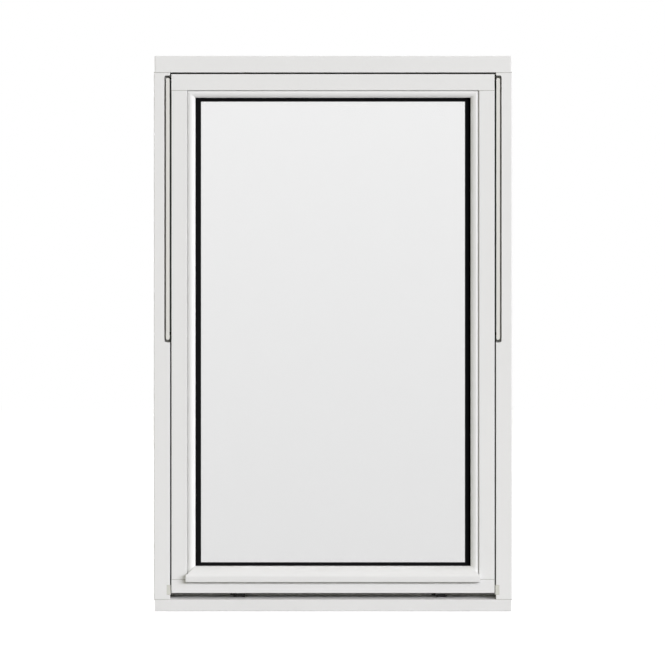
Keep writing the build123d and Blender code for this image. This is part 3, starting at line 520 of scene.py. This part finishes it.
# Keepers: pressed steel angles, passivated black, screwed to the sloping sill under the bottom rail.
# Each wall stands in front of its cam once the lock is thrown.
KEEPERS = ["keeper_left", "keeper_right"]
KEEPER_SCREW_SHARES = (0.25, 0.75)
KEEPER_SCREW_SETBACK = 7.5 * MM
KEEPER_FOOT = 2.0 * MM
SILL_SLOPE = math.radians(9)
dress(KEEPERS, BLACK_STEEL)
black_screw = cross_head("black_screw", SCREW_RADIUS, SCREW_RISE, BLACK_STEEL)
for keeper in KEEPERS:
    low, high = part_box(keeper)
    foot_z = low.z + KEEPER_FOOT + (high.y - KEEPER_SCREW_SETBACK - low.y) * math.tan(SILL_SLOPE)
    spots = [low.x + share * (high.x - low.x) for share in KEEPER_SCREW_SHARES]
    places = [(spot, high.y - KEEPER_SCREW_SETBACK, foot_z) for spot in spots]
    tilt = (0, -math.sin(SILL_SLOPE), math.cos(SILL_SLOPE))
    set_copies(black_screw, keeper + "_screws", places, tilt, "frame")


# Sash rails and stiles: softwood like the frame's, tenoned together, rebated for the glass and
# sprayed with the same white paint.
dress(["sash_top_rail", "sash_bottom_rail", "sash_stile_left", "sash_stile_right"], PAINT)


# Brackets on the sash: steel plates, passivated black, let into the stiles and held by countersunk
# screws. The corner brackets carry the pins of the shoes, the side brackets those of the arms.
BRACKET_SCREW_SHARES = {"corner_bracket_": (0.14, 0.36, 0.58), "side_bracket_": (0.12, 0.88)}
for bracket, shares in BRACKET_SCREW_SHARES.items():
    for side, inward in (("left", 1), ("right", -1)):
        dress([bracket + side], BLACK_STEEL)
        low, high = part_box(bracket + side)
        plate_x = max(abs(corner.x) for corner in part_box("sash_stile_" + side))
        spots = [low.z + share * (high.z - low.z) for share in shares]
        places = [(-inward * plate_x, (low.y + high.y) / 2, spot) for spot in spots]
        outward = (-inward, 0, 0)
        set_copies(black_screw, bracket + side + "_screws", places, outward, "sash")
bpy.data.objects.remove(black_screw)


# Sealed glass unit: two panes of float glass round a black spacer bar, sealed at the edge with
# polysulphide, on nylon setting blocks and between butyl glazing tapes.
GLASS_TINT = "#FDFDFD"
SLIT_PITCH = 6.0 * MM
SLIT_SHARE = 0.12
INNER_FACE = 0.5
SPACER_BLACK = "#0C0C0C"
# Darker black of the slits: painted shade inside the holes.
SLIT_SHADE_BLACK = "#040404"
SPACER_GLOSS = (0.7, 0.8)
SEAL_BLACK = "#0E0E0E"
SEAL_DULL = 0.7
TAPE_DULL = 0.75


def float_glass():
    """Clear float glass: polished and faintly grey, with the lamps let through it."""
    material, tree, shader, place = material_of(
        "float_glass", IOR=1.5, Roughness=0.0, Transmission_Weight=1.0)
    shader.inputs["Base Color"].default_value = linear(GLASS_TINT)
    clear = add(tree, "ShaderNodeBsdfTransparent", {"Color": linear(GLASS_TINT)})
    shadow = add(tree, "ShaderNodeLightPath").outputs["Is Shadow Ray"]
    both = add(tree, "ShaderNodeMixShader", {
        0: shadow, 1: shader.outputs["BSDF"], 2: clear.outputs["BSDF"]})
    tree.links.new(both.outputs["Shader"], tree.nodes["Material Output"].inputs["Surface"])
    return material


def spacer_bar():
    """Black coated spacer: dull, with rows of breathing slits for the drying beads inside, drawn as darker marks
    of painted shade.
    """
    material, tree, shader, place = material_of("coated_spacer", IOR=1.5, Specular_IOR_Level=0.2)
    parts = add(tree, "ShaderNodeSeparateXYZ", {"Vector": place})
    run = add(tree, "ShaderNodeMath", {0: parts.outputs["X"], 1: parts.outputs["Z"]}, operation="ADD")
    beat = add(tree, "ShaderNodeMath", {0: run.outputs[0], 1: SLIT_PITCH}, operation="PINGPONG")
    reach = SLIT_PITCH * SLIT_SHARE
    gap = add(tree, "ShaderNodeMath", {0: beat.outputs[0], 1: reach}, operation="LESS_THAN")
    way = add(tree, "ShaderNodeTexCoord").outputs["Normal"]
    facing = add(tree, "ShaderNodeSeparateXYZ", {"Vector": way})
    square = add(tree, "ShaderNodeMath", {0: facing.outputs["Y"]}, operation="ABSOLUTE")
    inner = add(tree, "ShaderNodeMath", {0: square.outputs[0], 1: INNER_FACE}, operation="LESS_THAN")
    slit_shade_mask = add(tree, "ShaderNodeMath", {0: gap.outputs[0], 1: inner.outputs[0]}, operation="MULTIPLY")
    # Painted shade: the slits are drawn darker than the bar, standing in for the shade inside the holes.
    shade = add(tree, "ShaderNodeValToRGB", {"Fac": slit_shade_mask.outputs[0]})
    shade.color_ramp.elements[0].color = linear(SPACER_BLACK)
    shade.color_ramp.elements[1].color = linear(SLIT_SHADE_BLACK)
    tree.links.new(shade.outputs["Color"], shader.inputs["Base Color"])
    gloss = add(tree, "ShaderNodeMapRange", {
        "Value": slit_shade_mask.outputs[0], "To Min": SPACER_GLOSS[0], "To Max": SPACER_GLOSS[1]})
    tree.links.new(gloss.outputs["Result"], shader.inputs["Roughness"])
    return material


dress(["spacer_frame"], spacer_bar())
dress(["edge_seal"], extruded_rubber("polysulphide_seal", SEAL_BLACK, SEAL_DULL))
dress(["outer_glazing_tape", "inner_glazing_tape"], extruded_rubber("butyl_tape", SEAL_BLACK, TAPE_DULL))
dress(["setting_blocks"], NYLON)
dress(["outer_pane", "inner_pane"], float_glass())


# Glazing beads and drip bead: moulded softwood, mitred, pinned from the outside and painted with the
# sash. The drip bead slopes to a nose that throws rain clear of the bottom rail.
dress(["glazing_bead_top", "glazing_bead_left", "glazing_bead_right", "drip_bead"], PAINT)


# Espagnolette lock: a zinc plated faceplate let into the foot of the bottom rail, with the gearbox
# and the sliding drive rod behind it and two locking cams, passivated black.
FACEPLATE_SCREW_SHARES = (0.03, 0.3, 0.7, 0.97)
ZINC_PALE = "#CFD0D1"
ZINC_DEEP = "#A9ABAE"
ROLLED_ALONG = (0.05, 1, 1)
RUN_STEEL = zinc_plate("zinc_plate_long", ZINC_PALE, ZINC_DEEP, ROLLED_ALONG)
dress(["lock_faceplate", "lock_gearbox", "drive_rod"], RUN_STEEL)
dress(["locking_cams"], BLACK_STEEL)
low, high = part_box("lock_faceplate")
spots = [low.x + share * (high.x - low.x) for share in FACEPLATE_SCREW_SHARES]
places = [(spot, (low.y + high.y) / 2, low.z) for spot in spots]
set_copies(screw, "faceplate_screws", places, (0, 0, -1), "sash")
bpy.data.objects.remove(screw)


# Handle: a cast aluminium lever on a rose with round ends, both satin anodised. The rose lies on the
# bottom rail, and the lever turns a square steel spindle.
HANDLE_DEEP = "#B9BABB"
HANDLE_PALE = "#C9CACB"
BRUSH_LINE = 0.6 * MM
BRUSH_RELIEF = 0.006 * MM
BRUSH_GLOSS = (0.3, 0.42)
BRUSHED_ALONG = (0.04, 1, 1)


def satin_anodised():
    """Satin anodised aluminium: pale grey metal with fine brushing along the lever."""
    material, tree, shader, place = material_of("satin_anodised", Metallic=1.0)
    brushed = add(tree, "ShaderNodeMapping", {"Vector": place, "Scale": BRUSHED_ALONG})
    line = add(tree, "ShaderNodeTexNoise", {
        "Vector": brushed.outputs["Vector"], "Scale": 1 / BRUSH_LINE, "Detail": 3.0})
    shade = add(tree, "ShaderNodeValToRGB", {"Fac": line.outputs["Fac"]})
    shade.color_ramp.elements[0].color = linear(HANDLE_DEEP)
    shade.color_ramp.elements[1].color = linear(HANDLE_PALE)
    tree.links.new(shade.outputs["Color"], shader.inputs["Base Color"])
    gloss = add(tree, "ShaderNodeMapRange", {
        "Value": line.outputs["Fac"], "To Min": BRUSH_GLOSS[0], "To Max": BRUSH_GLOSS[1]})
    tree.links.new(gloss.outputs["Result"], shader.inputs["Roughness"])
    relief = add(tree, "ShaderNodeBump", {"Height": line.outputs["Fac"], "Distance": BRUSH_RELIEF})
    tree.links.new(relief.outputs["Normal"], shader.inputs["Normal"])
    return material


dress(["handle_rose", "handle_lever"], satin_anodised())
dress(["handle_spindle"], RUN_STEEL)


# Studio: a pale floor and a white surround that fills the shadows. A long lamp stands low to the right in
# front and a weaker one behind, a dark flag keeps the glass clear, and a shaded screen lies behind it.
FLOOR_SIZE = 240.0
FLOOR_GLOW = 0.90
FLOOR_GREY = "#9A9A9A"
FIRST_BOUNCE = 0.5
WHITE = "#FFFFFF"
FILL = 1.0
FILL_POLE_SHARE = 0.05
FILL_COLOUR = "#FFFDEA"
LAMP_COLOUR = "#F6F6FF"
LAMP_DISTANCE = 60.0
LAMP_SIZE = (52.0, 8.0)
KEY_LEVEL = 2.96
KEY_FROM = Vector((0.62, -0.72, 0.27)).normalized()
BACK_LEVEL = 1.7
BACK_FROM = Vector((-0.45, 0.80, 0.08)).normalized()
CARD_DISTANCE = 7.0
FLAG_SIZE = (3.0, 3.0)
SCREEN_SIZE = (40.0, 3.0)
SCREEN_TOP = 1.05
SCREEN_FOOT = 0.915
PICTURE_SPAN = 1.6522
LENS = 1000.0
SENSOR = 36.0
AIM = Vector((-0.0012, cad_low.y, 0.6928))


def seen_rays(tree):
    """1 for rays that show something to the eye, straight or by the glass, 0 for those that only light."""
    path = add(tree, "ShaderNodeLightPath").outputs
    seen = path["Is Camera Ray"]
    for kind in ("Is Glossy Ray", "Is Transmission Ray"):
        seen = add(tree, "ShaderNodeMath", {0: seen, 1: path[kind]}, operation="MAXIMUM").outputs[0]
    bounces = path["Diffuse Depth"]
    direct = add(tree, "ShaderNodeMath", {0: bounces, 1: FIRST_BOUNCE}, operation="LESS_THAN").outputs[0]
    return add(tree, "ShaderNodeMath", {0: seen, 1: direct}, operation="MULTIPLY").outputs[0]


def white_surround():
    """World that is white where it is seen, and where it lights a fill that weakens overhead."""
    world = bpy.data.worlds.new("white_surround")
    world.use_nodes = True
    tree = world.node_tree
    way = add(tree, "ShaderNodeTexCoord").outputs["Generated"]
    height = add(tree, "ShaderNodeSeparateXYZ", {"Vector": way}).outputs["Z"]
    steep = add(tree, "ShaderNodeMath", {0: height}, operation="ABSOLUTE")
    fill = add(tree, "ShaderNodeMapRange", {
        "Value": steep.outputs[0], "To Min": FILL, "To Max": FILL * FILL_POLE_SHARE})
    light = add(tree, "ShaderNodeBackground", {
        "Color": linear(FILL_COLOUR), "Strength": fill.outputs["Result"]})
    white = add(tree, "ShaderNodeBackground", {"Color": linear(WHITE), "Strength": 1.0})
    both = add(tree, "ShaderNodeMixShader", {0: seen_rays(tree), 1: light.outputs[0], 2: white.outputs[0]})
    tree.links.new(both.outputs[0], tree.nodes["World Output"].inputs["Surface"])
    tree.nodes.remove(tree.nodes["Background"])
    bpy.context.scene.world = world


def pale_floor():
    """Floor that glows white where it is seen and still takes the window's shadow."""
    material, tree, shader, place = material_of("pale_floor", Roughness=0.9)
    shader.inputs["Base Color"].default_value = linear(FLOOR_GREY)
    shader.inputs["Specular IOR Level"].default_value = 0.0
    glow = add(tree, "ShaderNodeMath", {0: seen_rays(tree), 1: FLOOR_GLOW}, operation="MULTIPLY")
    shader.inputs["Emission Color"].default_value = linear(WHITE)
    tree.links.new(glow.outputs[0], shader.inputs["Emission Strength"])
    bpy.ops.object.select_all(action="DESELECT")
    bpy.ops.mesh.primitive_plane_add(size=FLOOR_SIZE, location=(0, 0, cad_low.z))
    floor = bpy.context.object
    floor.name = "floor"
    floor.data.materials.append(material)
    floor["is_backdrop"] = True


def upright_card(name, size, y, hidden_rays):
    """Upright card of the studio, hidden from some kinds of ray."""
    bpy.ops.object.select_all(action="DESELECT")
    bpy.ops.mesh.primitive_plane_add(size=1, location=(0, y, cad_low.z + size[1] / 2))
    card = bpy.context.object
    card.name = name
    card.rotation_euler = (math.radians(90), 0, 0)
    card.scale = (size[0], size[1], 1)
    bpy.ops.object.transform_apply(location=True, rotation=True, scale=True)
    for ray in hidden_rays:
        setattr(card, "visible_" + ray, False)
    card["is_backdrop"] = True
    material, tree, shader, place = material_of(name)
    tree.nodes.remove(shader)
    card.data.materials.append(material)
    return tree, place


def card_surface(tree, strength, shown):
    """Plain emission where the factor is 1, and nothing at all where it is 0."""
    glow = add(tree, "ShaderNodeEmission", {"Strength": strength})
    clear = add(tree, "ShaderNodeBsdfTransparent")
    both = add(tree, "ShaderNodeMixShader", {0: shown, 1: clear.outputs[0], 2: glow.outputs[0]})
    tree.links.new(both.outputs[0], tree.nodes["Material Output"].inputs["Surface"])


def dark_flag():
    """Black flag before the window, met only by rays that the glass or the paint has turned back."""
    hidden = ("camera", "diffuse", "volume_scatter", "shadow")
    tree, place = upright_card("dark_flag", FLAG_SIZE, cad_low.y - CARD_DISTANCE, hidden)
    card_surface(tree, 0.0, add(tree, "ShaderNodeLightPath").outputs["Glossy Depth"])


def shaded_screen():
    """White screen behind the window, seen only through the glass, a little darker at its foot."""
    hidden = ("camera", "diffuse", "glossy", "volume_scatter", "shadow")
    tree, place = upright_card("shaded_screen", SCREEN_SIZE, cad_high.y + CARD_DISTANCE, hidden)
    height = add(tree, "ShaderNodeSeparateXYZ", {"Vector": place}).outputs["Z"]
    level = add(tree, "ShaderNodeMapRange", {
        "Value": height, "From Min": cad_low.z, "From Max": cad_high.z,
        "To Min": SCREEN_FOOT, "To Max": SCREEN_TOP})
    card_surface(tree, level.outputs["Result"], seen_rays(tree))


def strip_lamp(name, way, level):
    """Long lamp that shines from one way at a level given as light on a facing surface."""
    bpy.ops.object.light_add(type="AREA", location=way * LAMP_DISTANCE)
    lamp = bpy.context.object
    lamp.name = name
    lamp.data.shape = "RECTANGLE"
    lamp.data.size, lamp.data.size_y = LAMP_SIZE
    lamp.data.energy = level * math.pi * LAMP_DISTANCE ** 2
    lamp.data.color = linear(LAMP_COLOUR)[:3]
    lamp.rotation_euler = way.to_track_quat("Z", "Y").to_euler()
    lamp.visible_camera = False
    lamp.visible_transmission = False


white_surround()
pale_floor()
dark_flag()
shaded_screen()
strip_lamp("key_lamp", KEY_FROM, KEY_LEVEL)
strip_lamp("back_lamp", BACK_FROM, BACK_LEVEL)
bpy.ops.object.camera_add(location=AIM - Vector((0, PICTURE_SPAN * LENS / SENSOR, 0)))
camera = bpy.context.object
camera.rotation_euler = (math.radians(90), 0, 0)
camera.data.lens = LENS
camera.data.sensor_width = SENSOR
camera.data.clip_end = FLOOR_SIZE
bpy.context.scene.camera = camera
bpy.context.scene.view_settings.view_transform = "Standard"

low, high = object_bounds()
